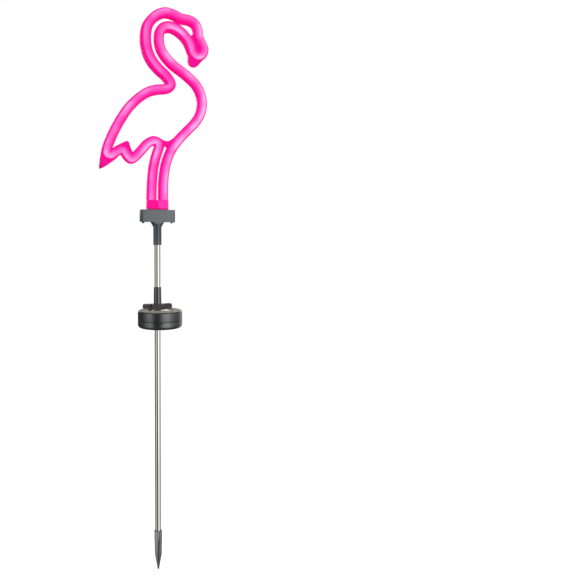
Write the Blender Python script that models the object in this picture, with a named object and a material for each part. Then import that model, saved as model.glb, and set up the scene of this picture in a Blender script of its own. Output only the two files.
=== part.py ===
"""Solar garden light: a neon-look flamingo on a steel pole with a round solar drum and a ground spike.

Metres, +Z up. The pole stands on the Z axis, the ground line is z = 0 and the front faces -Y.
"""
import math

import bmesh
import bpy
from mathutils import Vector
from mathutils.geometry import intersect_line_line_2d

# Clearance between pieces that touch
CLEARANCE = 0.0003

# Steel poles, with the lengths that show between the sockets
POLE_DIAMETER = 0.0080
POLE_WALL = 0.0006
LOWER_POLE_SHOWN = 0.2895
UPPER_POLE_SHOWN = 0.0566

# Ground spike
SPIKE_LENGTH = 0.0568
SPIKE_SOCKET_WALL = 0.0011
SPIKE_SOCKET_DEPTH = 0.0150
SPIKE_KNEE_WIDTH = 0.0101
SPIKE_KNEE_DEPTH = 0.0345
SPIKE_TIP_WIDTH = 0.0022
SPIKE_GROOVE = 0.0016
SPIKE_SOCKET_GROOVE = 0.0005
GROOVE_SHARPNESS = 4

# Solar drum, mostly in front of the pole
DRUM_DIAMETER = 0.0580
DRUM_HEIGHT = 0.0232
LID_HEIGHT = 0.0128
DRUM_WALL = 0.0022
POLE_FROM_DRUM_BACK = 0.0118
LID_CROWN = 0.0009
DRUM_TOP_ROUND = 0.0022
DRUM_BOTTOM_ROUND = 0.0043
DRUM_POST_WALL = 0.0020
PRY_NOTCH_WIDTH = 0.0080
PRY_NOTCH_HEIGHT = 0.0018
PRY_NOTCH_DEPTH = 0.0008
PRY_NOTCH_ANGLE = math.radians(-13)

# Solar panel, in a seat in the lid
PANEL_WIDTH = 0.0300
PANEL_LENGTH = 0.0220
PANEL_THICKNESS = 0.0010
PANEL_SUNK = 0.0002
PANEL_FRONT_FROM_DRUM_CENTRE = 0.0114
SEAT_FLOOR = 0.0011

# Collar: a round socket on a flat-fronted boss, with a wing on each side, over a pad of the lid
COLLAR_HEIGHT = 0.0226
COLLAR_TOP_WALL = 0.00055
COLLAR_BASE_WALL = 0.00085
COLLAR_EDGE_ROUND = 0.0004
COLLAR_FLOOR = 0.0020
BOSS_SIDE_MARGIN = 0.00365
BOSS_FRONT_MARGIN = 0.0008
BOSS_CORNER = 0.0006
WINGS_HEIGHT = 0.0052
WINGS_WIDTH = 0.0394
WINGS_DRAFT = 0.0009
WINGS_FRONT = 0.0022
WINGS_BACK = 0.0038
WING_CORNER_ROUND = 0.0014
WING_NOTCH_WIDTH = 0.0016
WING_NOTCH_DEPTH = 0.0014
PAD_STEP = 0.0006

# Flamingo. Its outline is given as shares of its height above the bracket
FIGURE_HEIGHT = 0.2600
SHELL_HALF_WIDTH = 0.00615
SHELL_DEPTH = 0.0086
SHELL_BACK_EDGE = 0.0012
SIDE_LEDGE = 0.0016
DIFFUSER_HALF_WIDTH = 0.0054
DIFFUSER_HEIGHT = 0.0049
DIFFUSER_RIM = 0.0006
WEB_SETBACK = 0.0004

# Two-lobed foot of the flamingo and the tongue below it that plugs into the bracket
FOOT_HEIGHT = 0.0125
FOOT_SIDE_MARGIN = 0.0004
FOOT_FACE_MARGIN = 0.0001
FOOT_CORNER = 0.0042
FOOT_LOBE_OVERLAP = 0.0010
FOOT_TOP_EDGE = 0.0006
TONGUE_STEP = 0.0022
TONGUE_LENGTH = 0.0060

# Bracket
BRACKET_HEIGHT = 0.0164
BRACKET_SHOULDER = 0.0085
BRACKET_LIP = 0.0003
BRACKET_CORNER = 0.0030
BRACKET_EDGE = 0.0003
BRACKET_SLOT_FLOOR = 0.0042
BRACKET_SOCKET_WALL = 0.0011
BRACKET_SOCKET_LENGTH = 0.0238
FLARE_SPREAD = 0.0038
FLARE_HEIGHT = 0.0066

# Bracket screws
SCREW_INSET = 0.0038
SCREW_HEAD_DIAMETER = 0.0038
SCREW_HEAD_HEIGHT = 0.0013
SCREW_SHANK_DIAMETER = 0.0020
SCREW_SHANK_LENGTH = 0.0080
SCREW_CROSS_LENGTH = 0.0022
SCREW_CROSS_WIDTH = 0.0006
SCREW_CROSS_DEPTH = 0.0006

# Smoothness
ROUND_SEGMENTS = 32
DRUM_SEGMENTS = 52
SPIKE_SEGMENTS = 40
DOME_STEPS = 6
CURVE_STEPS = 24
STATION_TURN = math.radians(17)
STATION_LENGTH = 0.0078
FOLD_WINDOW = 14

# The neon line in the order that the tube runs, from the near leg round to the far leg
NEAR_LEG = [(-0.029, 0.0), (-0.029, 0.060), (-0.027, 0.120), (-0.022, 0.190), (-0.012, 0.245), (0.001, 0.290)]
HIP = [(0.009, 0.316), (0.002, 0.339), (-0.020, 0.345), (-0.047, 0.332)]
WING_TIPS = [(-0.077, 0.299), (-0.108, 0.265), (-0.130, 0.250), (-0.149, 0.265), (-0.166, 0.289),
             (-0.181, 0.293), (-0.206, 0.280), (-0.231, 0.264), (-0.248, 0.270), (-0.248, 0.294)]
BACK = [(-0.225, 0.355), (-0.201, 0.405), (-0.176, 0.449), (-0.147, 0.493), (-0.115, 0.530),
        (-0.079, 0.562), (-0.040, 0.587), (0.000, 0.600), (0.042, 0.607)]
OUTER_NECK = [(0.063, 0.616), (0.071, 0.634), (0.046, 0.672), (0.009, 0.704), (-0.021, 0.738),
              (-0.042, 0.777), (-0.054, 0.842), (-0.047, 0.900), (-0.028, 0.935), (0.001, 0.962)]
CROWN = [(0.040, 0.979), (0.084, 0.974), (0.122, 0.959), (0.158, 0.957), (0.192, 0.943), (0.208, 0.913),
         (0.211, 0.881)]
BEAK = [(0.227, 0.850), (0.240, 0.820), (0.230, 0.793), (0.204, 0.781), (0.183, 0.797)]
INNER_NECK = [(0.171, 0.830), (0.155, 0.862), (0.128, 0.889), (0.096, 0.908), (0.062, 0.915), (0.030, 0.904),
              (0.014, 0.881), (0.010, 0.849), (0.015, 0.812), (0.030, 0.781), (0.053, 0.753), (0.086, 0.724),
              (0.126, 0.699), (0.168, 0.669)]
CHEST = [(0.203, 0.636), (0.225, 0.594), (0.233, 0.546), (0.223, 0.495), (0.197, 0.451), (0.155, 0.406),
         (0.110, 0.358)]
FAR_LEG = [(0.077, 0.312), (0.055, 0.266), (0.040, 0.214), (0.032, 0.150), (0.030, 0.080), (0.030, 0.0)]
NEON_RUNS = [NEAR_LEG, HIP, WING_TIPS, BACK, OUTER_NECK, CROWN, BEAK, INNER_NECK, CHEST, FAR_LEG]

# Where the backing stands wider on the tube's left: the run, its first point and its last
LEDGE_SPANS = [(OUTER_NECK, 1, 8), (INNER_NECK, -1, 6)]

# Flat webs of the backing, between and beyond the tube
TAIL_FIN = [(-0.240, 0.330), (-0.266, 0.322), (-0.2755, 0.280), (-0.2835, 0.235), (-0.2865, 0.201),
            (-0.283, 0.1965), (-0.276, 0.1975), (-0.255, 0.209), (-0.226, 0.230), (-0.206, 0.246),
            (-0.190, 0.262), (-0.205, 0.285), (-0.230, 0.272)]
FEATHER_WEB = [(-0.235, 0.280), (-0.222, 0.300), (-0.190, 0.320), (-0.158, 0.336), (-0.148, 0.339),
               (-0.142, 0.335), (-0.130, 0.298), (-0.121, 0.285), (-0.128, 0.262), (-0.160, 0.280)]
LEG_WEB = [(0.000, 0.350), (0.014, 0.362), (0.030, 0.352), (0.048, 0.347), (0.066, 0.352), (0.086, 0.369),
           (0.100, 0.360), (0.076, 0.320), (0.053, 0.303), (0.050, 0.316), (0.043, 0.325), (0.036, 0.318),
           (0.033, 0.305), (0.010, 0.316)]
HEAD_WEB = [(0.176, 0.885), (0.196, 0.895), (0.215, 0.870), (0.232, 0.838), (0.220, 0.822), (0.2095, 0.824),
            (0.1995, 0.817), (0.185, 0.815), (0.166, 0.835), (0.150, 0.865)]
BEAK_TIP_CENTRE = (0.190, 0.7595)
BEAK_TIP_RADIUS = 0.0300
BEAK_TIP_ARC = (math.radians(170), math.radians(322))
BEAK_TIP_ROOT = [(0.254, 0.790), (0.245, 0.820), (0.180, 0.820), (0.160, 0.790)]

# Levels and places that follow from the sizes above
POLE_RADIUS = POLE_DIAMETER / 2
BORE_RADIUS = POLE_RADIUS + CLEARANCE
DRUM_RADIUS = DRUM_DIAMETER / 2
DRUM_CENTRE = Vector((0.0, POLE_FROM_DRUM_BACK - DRUM_RADIUS, 0.0))
DRUM_BOTTOM = LOWER_POLE_SHOWN
DRUM_TOP = DRUM_BOTTOM + DRUM_HEIGHT
SEAM = DRUM_TOP - LID_HEIGHT
LID_THICKNESS = SEAT_FLOOR + CLEARANCE + PANEL_THICKNESS + PANEL_SUNK
LOWER_POLE_TOP = DRUM_TOP - LID_THICKNESS - CLEARANCE
CROWN_TOP = DRUM_TOP + LID_CROWN
PANEL_TOP = CROWN_TOP - PANEL_SUNK
WINGS_BOTTOM = CROWN_TOP + CLEARANCE
WINGS_TOP = WINGS_BOTTOM + WINGS_HEIGHT
COLLAR_BORE_BOTTOM = WINGS_BOTTOM + COLLAR_FLOOR
COLLAR_TOP = WINGS_TOP + COLLAR_HEIGHT
COLLAR_BASE_RADIUS = BORE_RADIUS + COLLAR_BASE_WALL
BOSS_HALF_WIDTH = COLLAR_BASE_RADIUS + BOSS_SIDE_MARGIN
BOSS_FRONT = COLLAR_BASE_RADIUS + BOSS_FRONT_MARGIN
SOCKET_RADIUS = BORE_RADIUS + BRACKET_SOCKET_WALL
SOCKET_BOTTOM = COLLAR_TOP + UPPER_POLE_SHOWN
FLARE_BOTTOM = SOCKET_BOTTOM + BRACKET_SOCKET_LENGTH
BRACKET_BOTTOM = FLARE_BOTTOM + FLARE_HEIGHT
BRACKET_TOP = BRACKET_BOTTOM + BRACKET_HEIGHT
BRACKET_BORE_TOP = BRACKET_TOP - TONGUE_LENGTH - CLEARANCE - BRACKET_SLOT_FLOOR
FIGURE_DEPTH = SHELL_DEPTH + CLEARANCE + DIFFUSER_HEIGHT
SHELL_BACK = FIGURE_DEPTH / 2
SHELL_FRONT = SHELL_BACK - SHELL_DEPTH
DIFFUSER_BASE = SHELL_FRONT - CLEARANCE
NEAR_LEG_X = NEAR_LEG[0][0] * FIGURE_HEIGHT
FAR_LEG_X = FAR_LEG[-1][0] * FIGURE_HEIGHT
FOOT_CENTRE = (NEAR_LEG_X + FAR_LEG_X) / 2
FOOT_WIDTH = FAR_LEG_X - NEAR_LEG_X + 2 * (SHELL_HALF_WIDTH + FOOT_SIDE_MARGIN)
FOOT_DEPTH = FIGURE_DEPTH + 2 * FOOT_FACE_MARGIN
FOOT_BOTTOM = BRACKET_TOP + CLEARANCE
FOOT_TOP = BRACKET_TOP + FOOT_HEIGHT
TONGUE_WIDTH = FOOT_WIDTH - 2 * TONGUE_STEP
TONGUE_DEPTH = FOOT_DEPTH - 2 * TONGUE_STEP
BRACKET_WIDTH = FOOT_WIDTH + 2 * BRACKET_SHOULDER
BRACKET_DEPTH = FOOT_DEPTH + 2 * BRACKET_LIP
SCREW_OFFSET = BRACKET_WIDTH / 2 - SCREW_INSET

# How far a cutter runs past the surface that it cuts, and a joined shape runs into its neighbour
OVERRUN = 0.001


def clear_scene():
    for item in list(bpy.data.objects):
        bpy.data.objects.remove(item, do_unlink=True)


def material(name, colour, roughness, metallic=0.0):
    result = bpy.data.materials.new(name)
    result.use_nodes = True
    shader = result.node_tree.nodes["Principled BSDF"]
    shader.inputs["Base Color"].default_value = (*colour, 1.0)
    shader.inputs["Roughness"].default_value = roughness
    shader.inputs["Metallic"].default_value = metallic
    return result


def finish(name, bm, surface=None, smooth_angle=math.radians(32)):
    """Turns a bmesh into an object that faces out and is shaded smooth up to the given angle."""
    bmesh.ops.remove_doubles(bm, verts=bm.verts, dist=1e-6)
    bmesh.ops.recalc_face_normals(bm, faces=bm.faces)
    mesh = bpy.data.meshes.new(name)
    bm.to_mesh(mesh)
    bm.free()
    if surface:
        mesh.materials.append(surface)
    mesh.shade_smooth()
    mesh.set_sharp_from_angle(angle=smooth_angle)
    result = bpy.data.objects.new(name, mesh)
    bpy.context.scene.collection.objects.link(result)
    return result


def combine(target, operation, name, bm):
    """Adds a Boolean to the target, with the bmesh as its hidden second shape."""
    guide = finish(name, bm)
    guide.hide_render = True
    guide.display_type = 'WIRE'
    modifier = target.modifiers.new(name, 'BOOLEAN')
    modifier.operation = operation
    modifier.solver = 'EXACT'
    modifier.object = guide


def cut(target, name, bm):
    combine(target, 'DIFFERENCE', name, bm)


def join(target, name, bm):
    combine(target, 'UNION', name, bm)


def lofted(rings):
    """A closed solid through rings of points, with a flat cap on the first and the last ring."""
    bm = bmesh.new()
    loops = [[bm.verts.new(point) for point in ring] for ring in rings]
    for lower, upper in zip(loops, loops[1:]):
        for i in range(len(lower)):
            bm.faces.new((lower[i - 1], lower[i], upper[i], upper[i - 1]))
    bm.faces.new(reversed(loops[0]))
    bm.faces.new(loops[-1])
    return bm


def turned(profile, centre=Vector((0, 0, 0)), segments=ROUND_SEGMENTS):
    """A closed profile of (radius, height) points, spun about the vertical axis through the centre."""
    bm = bmesh.new()
    ring = [bm.verts.new((centre.x + radius, centre.y, height)) for radius, height in profile]
    edges = [bm.edges.new((ring[i - 1], ring[i])) for i in range(len(ring))]
    bmesh.ops.spin(bm, geom=ring + edges, cent=centre, axis=(0, 0, 1), angle=math.tau, steps=segments,
                   use_merge=True)
    return bm


def rod(radius, bottom, top, centre=Vector((0, 0, 0))):
    return turned([(0, bottom), (radius, bottom), (radius, top), (0, top)], centre)


def arc(centre, radius, start, end, steps):
    """Points of a circle's arc in the plane, both ends included."""
    angles = [start + (end - start) * i / steps for i in range(steps + 1)]
    return [(centre[0] + radius * math.cos(a), centre[1] + radius * math.sin(a)) for a in angles]


def block(low, high):
    bm = bmesh.new()
    bmesh.ops.create_cube(bm, size=1)
    for vert in bm.verts:
        vert.co = [low[i] + (high[i] - low[i]) * (vert.co[i] + 0.5) for i in range(3)]
    return bm


def upright(edge):
    return abs((edge.verts[0].co - edge.verts[1].co).normalized().z) > 0.99


def on_level(height):
    return lambda edge: all(abs(vert.co.z - height) < 1e-6 for vert in edge.verts)


def round_edges(bm, chosen, radius, segments):
    bmesh.ops.bevel(bm, geom=[e for e in bm.edges if chosen(e)], offset=radius, segments=segments, profile=0.5,
                    affect='EDGES', clamp_overlap=True)


def tube(name, bottom, top, surface):
    inner = POLE_RADIUS - POLE_WALL
    profile = [(POLE_RADIUS, bottom), (POLE_RADIUS, top), (inner, top), (inner, bottom)]
    return finish(name, turned(profile), surface)


def ground_spike(surface):
    """Four-grooved spike: a round socket above, a straight taper to a blunt tip below the knee."""
    shoulder = BORE_RADIUS + SPIKE_SOCKET_WALL
    knee = SPIKE_KNEE_WIDTH / 2
    tip = SPIKE_TIP_WIDTH / 2
    socket_end = SPIKE_SOCKET_DEPTH + 2 * SPIKE_SOCKET_WALL
    levels = [(0.0, shoulder, SPIKE_SOCKET_GROOVE),
              (SPIKE_SOCKET_DEPTH, shoulder, SPIKE_SOCKET_GROOVE),
              (max(SPIKE_KNEE_DEPTH * 0.6, socket_end), (shoulder + knee) / 2, SPIKE_GROOVE),
              (max(SPIKE_KNEE_DEPTH, socket_end * 1.2), knee, SPIKE_GROOVE)]
    knee_depth = levels[-1][0]
    for share in (0.35, 0.7, 1.0):
        depth = knee_depth + (SPIKE_LENGTH - knee_depth) * share
        levels.append((depth, knee + (tip - knee) * share, SPIKE_GROOVE * (1 - 0.9 * share)))
    rings = []
    for depth, radius, groove in levels:
        ring = []
        for i in range(SPIKE_SEGMENTS):
            angle = math.tau * i / SPIKE_SEGMENTS
            reach = radius - groove * (0.5 + 0.5 * math.cos(4 * angle)) ** GROOVE_SHARPNESS
            ring.append((reach * math.cos(angle), reach * math.sin(angle), -depth))
        rings.append(ring)
    spike = finish("ground_spike", lofted(rings), surface)
    cut(spike, "spike_bore", rod(BORE_RADIUS, -SPIKE_SOCKET_DEPTH - CLEARANCE, OVERRUN))
    return spike


def drum_base(surface):
    """Open cup with a rounded lower edge, a hole for the pole and a notch to pry the lid off."""
    rim = SEAM - CLEARANCE
    inner = DRUM_RADIUS - DRUM_WALL
    floor = DRUM_BOTTOM + DRUM_WALL
    corner = (DRUM_RADIUS - DRUM_BOTTOM_ROUND, DRUM_BOTTOM + DRUM_BOTTOM_ROUND)
    profile = [(0, DRUM_BOTTOM)] + arc(corner, DRUM_BOTTOM_ROUND, math.radians(-90), 0, 5)
    profile += [(DRUM_RADIUS, rim), (inner, rim), (inner, corner[1]),
                (inner - DRUM_BOTTOM_ROUND / 2, floor), (0, floor)]
    base = finish("drum_base", turned(profile, DRUM_CENTRE, DRUM_SEGMENTS), surface)
    cut(base, "pole_hole", rod(BORE_RADIUS, DRUM_BOTTOM - OVERRUN, floor + OVERRUN))
    notch = block((-PRY_NOTCH_WIDTH / 2, -DRUM_RADIUS - OVERRUN, rim - PRY_NOTCH_HEIGHT),
                  (PRY_NOTCH_WIDTH / 2, -DRUM_RADIUS + PRY_NOTCH_DEPTH, rim + OVERRUN))
    for vert in notch.verts:
        sideways = vert.co.x * math.cos(PRY_NOTCH_ANGLE) - vert.co.y * math.sin(PRY_NOTCH_ANGLE)
        forward = vert.co.x * math.sin(PRY_NOTCH_ANGLE) + vert.co.y * math.cos(PRY_NOTCH_ANGLE)
        vert.co.x, vert.co.y = DRUM_CENTRE.x + sideways, DRUM_CENTRE.y + forward
    cut(base, "pry_notch", notch)
    return base


def panel_box(margin, bottom, top):
    front = DRUM_CENTRE.y - PANEL_FRONT_FROM_DRUM_CENTRE
    half = PANEL_WIDTH / 2 + margin
    return block((-half, front - margin, bottom), (half, front + PANEL_LENGTH + margin, top))


def drum_lid(surface):
    """Open cap with a crowned top, the panel's seat and the collar's pad above and the pole's post below."""
    inner = DRUM_RADIUS - DRUM_WALL
    ceiling = DRUM_TOP - LID_THICKNESS
    rim = DRUM_RADIUS - DRUM_TOP_ROUND
    profile = [(rim * share, DRUM_TOP + LID_CROWN * (1 - share ** 2)) for share in (0.0, 0.55)]
    profile += arc((rim, DRUM_TOP - DRUM_TOP_ROUND), DRUM_TOP_ROUND, math.radians(90), 0, 3)
    profile += [(DRUM_RADIUS, SEAM), (inner, SEAM), (inner, ceiling), (0, ceiling)]
    lid = finish("drum_lid", turned(profile, DRUM_CENTRE, DRUM_SEGMENTS), surface)
    for name, half, front in (("wings_pad", WINGS_WIDTH / 2, WINGS_FRONT), ("boss_pad", BOSS_HALF_WIDTH, BOSS_FRONT)):
        join(lid, name, block((PAD_STEP - half, PAD_STEP - front, DRUM_TOP - DRUM_TOP_ROUND * 0.6),
                              (half - PAD_STEP, WINGS_BACK - PAD_STEP, CROWN_TOP)))
    post_bottom = DRUM_BOTTOM + DRUM_WALL + CLEARANCE
    join(lid, "pole_post", rod(BORE_RADIUS + DRUM_POST_WALL, post_bottom, ceiling + OVERRUN))
    cut(lid, "post_bore", rod(BORE_RADIUS, post_bottom - OVERRUN, ceiling))
    cut(lid, "panel_seat", panel_box(CLEARANCE, PANEL_TOP - PANEL_THICKNESS - CLEARANCE, CROWN_TOP + OVERRUN))
    return lid


def solar_panel(surface):
    bm = panel_box(0.0, PANEL_TOP - PANEL_THICKNESS, PANEL_TOP)
    round_edges(bm, upright, PANEL_THICKNESS * 0.8, 3)
    return finish("solar_panel", bm, surface)


def pole_collar(surface):
    """Round socket on a flat-fronted boss, with a drafted wing on each side and a notch between."""
    top_radius = BORE_RADIUS + COLLAR_TOP_WALL
    edge_centre = (top_radius - COLLAR_EDGE_ROUND, COLLAR_TOP - COLLAR_EDGE_ROUND)
    socket_bottom = WINGS_BOTTOM + OVERRUN
    profile = [(0, socket_bottom), (COLLAR_BASE_RADIUS, socket_bottom)]
    profile += arc(edge_centre, COLLAR_EDGE_ROUND, 0, math.radians(90), 3) + [(0, COLLAR_TOP)]
    collar = finish("pole_collar", turned(profile), surface)
    wings = block((-WINGS_WIDTH / 2, -WINGS_FRONT, WINGS_BOTTOM), (WINGS_WIDTH / 2, WINGS_BACK, WINGS_TOP))
    for vert in wings.verts:
        if vert.co.z > WINGS_BOTTOM + WINGS_HEIGHT / 2:
            vert.co.x -= math.copysign(WINGS_DRAFT, vert.co.x)
    ends = [e for e in wings.edges if on_level(WINGS_TOP)(e) and abs(e.verts[0].co.x - e.verts[1].co.x) < 1e-6]
    round_edges(wings, lambda edge: edge in ends, WING_CORNER_ROUND, 4)
    join(collar, "collar_wings", wings)
    for side in (-1, 1):
        middle = side * (BOSS_HALF_WIDTH + WING_NOTCH_WIDTH / 2 - CLEARANCE)
        rise = WING_NOTCH_DEPTH + OVERRUN
        half = WING_NOTCH_WIDTH / 2 * rise / WING_NOTCH_DEPTH
        ring = [(middle, WINGS_TOP - WING_NOTCH_DEPTH), (middle + half, WINGS_TOP + OVERRUN),
                (middle - half, WINGS_TOP + OVERRUN)]
        notch = lofted([[(x, y, z) for x, z in ring] for y in (-WINGS_FRONT - OVERRUN, WINGS_BACK + OVERRUN)])
        cut(collar, "wing_notch_right" if side > 0 else "wing_notch_left", notch)
    boss_back = WINGS_BACK + BOSS_FRONT_MARGIN
    boss = block((-BOSS_HALF_WIDTH, -BOSS_FRONT, WINGS_BOTTOM), (BOSS_HALF_WIDTH, boss_back, WINGS_TOP))
    round_edges(boss, upright, BOSS_CORNER, 3)
    join(collar, "collar_boss", boss)
    cut(collar, "collar_bore", rod(BORE_RADIUS, COLLAR_BORE_BOTTOM, COLLAR_TOP + OVERRUN))
    return collar


def flared_socket():
    """Socket below the bracket, with a cone above it cut flat in line with the bracket's faces."""
    flare = SOCKET_RADIUS + FLARE_SPREAD
    slope = FLARE_HEIGHT / FLARE_SPREAD
    top = BRACKET_BOTTOM + OVERRUN
    bm = turned([(0, SOCKET_BOTTOM), (SOCKET_RADIUS, SOCKET_BOTTOM), (SOCKET_RADIUS, FLARE_BOTTOM),
                 (flare + OVERRUN / slope, top), (0, top)])
    bmesh.ops.remove_doubles(bm, verts=bm.verts, dist=1e-6)
    for side in (-1, 1):
        whole = list(bm.verts) + list(bm.edges) + list(bm.faces)
        bmesh.ops.bisect_plane(bm, geom=whole, plane_co=(0, side * BRACKET_DEPTH / 2, 0), plane_no=(0, side, 0),
                               clear_outer=True, dist=1e-7)
        bmesh.ops.holes_fill(bm, edges=[e for e in bm.edges if e.is_boundary])
    return bm


def bracket(surface):
    """Block with a slot for the flamingo's tongue, a flared socket below and two screw holes."""
    half = (BRACKET_WIDTH / 2, BRACKET_DEPTH / 2)
    bm = block((FOOT_CENTRE - half[0], -half[1], BRACKET_BOTTOM), (FOOT_CENTRE + half[0], half[1], BRACKET_TOP))
    round_edges(bm, upright, BRACKET_CORNER, 5)
    for level in (BRACKET_BOTTOM, BRACKET_TOP):
        round_edges(bm, on_level(level), BRACKET_EDGE, 2)
    holder = finish("bracket", bm, surface)
    join(holder, "flared_socket", flared_socket())
    cut(holder, "bracket_bore", rod(BORE_RADIUS, SOCKET_BOTTOM - OVERRUN, BRACKET_BORE_TOP))
    cut(holder, "tongue_slot", tongue(CLEARANCE, BRACKET_TOP + OVERRUN))
    for side in (-1, 1):
        centre = Vector((FOOT_CENTRE + side * SCREW_OFFSET, 0, 0))
        hole = rod(SCREW_SHANK_DIAMETER / 2 + CLEARANCE, BRACKET_BOTTOM - OVERRUN,
                   BRACKET_BOTTOM + SCREW_SHANK_LENGTH + CLEARANCE, centre)
        cut(holder, "screw_hole_right" if side > 0 else "screw_hole_left", hole)
    return holder


def bracket_screw(name, side, surface):
    """Pan head below the bracket, with a cross in it and a plain shank above."""
    centre = Vector((FOOT_CENTRE + side * SCREW_OFFSET, 0, 0))
    head, shank = SCREW_HEAD_DIAMETER / 2, SCREW_SHANK_DIAMETER / 2
    seat = BRACKET_BOTTOM - CLEARANCE
    low = seat - SCREW_HEAD_HEIGHT
    profile = [(0, low), (head * 0.55, low), (head * 0.85, low + SCREW_HEAD_HEIGHT * 0.3),
               (head, seat - SCREW_HEAD_HEIGHT * 0.3), (head, seat), (shank, seat),
               (shank, BRACKET_BOTTOM + SCREW_SHANK_LENGTH), (0, BRACKET_BOTTOM + SCREW_SHANK_LENGTH)]
    screw = finish(name, turned(profile, centre, ROUND_SEGMENTS // 2), surface)
    for turn in (0, 1):
        half = [SCREW_CROSS_LENGTH / 2, SCREW_CROSS_WIDTH / 2]
        half = half[::-1] if turn else half
        slot = block((centre.x - half[0], -half[1], low - OVERRUN),
                     (centre.x + half[0], half[1], low + SCREW_CROSS_DEPTH))
        cut(screw, name + ("_slot_b" if turn else "_slot_a"), slot)
    return screw


def tongue(margin, top):
    """The plug below the flamingo's foot, or with a margin the slot that takes it."""
    half = (TONGUE_WIDTH / 2 + margin, TONGUE_DEPTH / 2 + margin)
    bottom = BRACKET_TOP - TONGUE_LENGTH - margin
    return block((FOOT_CENTRE - half[0], -half[1], bottom), (FOOT_CENTRE + half[0], half[1], top))


def curve_point(knots, times, at):
    """Point of a Catmull-Rom curve, blended from its four knots."""
    first = [knots[j].lerp(knots[j + 1], (at - times[j]) / (times[j + 1] - times[j])) for j in range(3)]
    second = [first[j].lerp(first[j + 1], (at - times[j]) / (times[j + 2] - times[j])) for j in range(2)]
    return second[0].lerp(second[1], (at - times[1]) / (times[2] - times[1]))


def neon_line():
    """The tube's middle line as a dense list of points (x, z), with each point's place among the knots."""
    shares = [Vector(share) * FIGURE_HEIGHT for run in NEON_RUNS for share in run]
    knots = [shares[0] * 2 - shares[1]] + shares + [shares[-1] * 2 - shares[-2]]
    line = []
    for i in range(len(shares) - 1):
        span = knots[i:i + 4]
        times = [0.0]
        for a, b in zip(span, span[1:]):
            times.append(times[-1] + math.sqrt((b - a).length))
        for step in range(CURVE_STEPS):
            at = times[1] + (times[2] - times[1]) * step / CURVE_STEPS
            line.append((curve_point(span, times, at), i + step / CURVE_STEPS))
    line.append((shares[-1], len(shares) - 1))
    return [(Vector((point.x, point.y + BRACKET_TOP)), place) for point, place in line]


def stations(lowest):
    """Chosen points of the line above a height, each with the direction to its left, closer in tight bends."""
    line = neon_line()
    rising = next(i for i, (point, _) in enumerate(line) if point.y > lowest)
    falling = next(i for i in range(len(line) - 1, 0, -1) if line[i][0].y > lowest)
    line = line[rising - 1:falling + 2]
    for end in (0, -1):
        line[end] = (Vector((line[end][0].x, lowest)), line[end][1])
    chosen, run, turn = [], 0.0, 0.0
    heading = line[1][0] - line[0][0]
    for i, (point, place) in enumerate(line):
        before, after = line[max(i - 1, 0)][0], line[min(i + 1, len(line) - 1)][0]
        run += (point - before).length
        turn += abs(heading.angle_signed(after - before))
        heading = after - before
        last = i == len(line) - 1
        if last and run < STATION_LENGTH / 3:
            chosen.pop()
        if not chosen or last or run > STATION_LENGTH or turn > STATION_TURN:
            chosen.append((point, Vector((-heading.y, heading.x)).normalized(), place))
            run = turn = 0.0
    return chosen


def unfolded(row):
    """Closes to one point each stretch of a row that folds over itself on the inside of a tight bend."""
    row = list(row)
    i = 0
    while i < len(row) - 2:
        for j in range(min(i + FOLD_WINDOW, len(row) - 2), i + 1, -1):
            meeting = intersect_line_line_2d(row[i], row[i + 1], row[j], row[j + 1])
            if meeting:
                row[i + 1:j + 1] = [meeting] * (j - i)
                i = j
                break
        i += 1
    return row


def ledge(place):
    """Extra width of the backing on the tube's left, eased in and out along the spans that have it."""
    extra = 0.0
    for run, first, last in LEDGE_SPANS:
        start = sum(len(other) for other in NEON_RUNS[:NEON_RUNS.index(run)])
        share = (place - start - first) / (last - first)
        if 0 < share < 1:
            extra += SIDE_LEDGE * math.sin(math.pi * share) ** 0.7
    return extra


def swept(section, lowest, left_extra=lambda place: 0.0):
    """Sweeps a section of (sideways, depth) points along the neon line, down to a height."""
    along = stations(lowest)
    rows = []
    for sideways, depth in section:
        row = [point + left * (sideways + (left_extra(place) if sideways > 0 else 0)) for point, left, place in along]
        rows.append([(point.x, depth, point.y) for point in unfolded(row)])
    return lofted(list(zip(*rows)))


def web(outline):
    """A flat plate of the backing with this outline, in shares of the figure's height."""
    levels = (SHELL_FRONT + WEB_SETBACK, SHELL_BACK - WEB_SETBACK)
    return lofted([[(x * FIGURE_HEIGHT, y, z * FIGURE_HEIGHT + BRACKET_TOP) for x, z in outline] for y in levels])


def foot_lobe(side):
    """One rounded half of the foot, around one leg."""
    inner = FOOT_CENTRE - side * FOOT_LOBE_OVERLAP / 2
    outer = FOOT_CENTRE + side * FOOT_WIDTH / 2
    bm = block((min(inner, outer), -FOOT_DEPTH / 2, FOOT_BOTTOM), (max(inner, outer), FOOT_DEPTH / 2, FOOT_TOP))
    round_edges(bm, upright, FOOT_CORNER, 5)
    round_edges(bm, on_level(FOOT_TOP), FOOT_TOP_EDGE, 2)
    return bm


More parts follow.
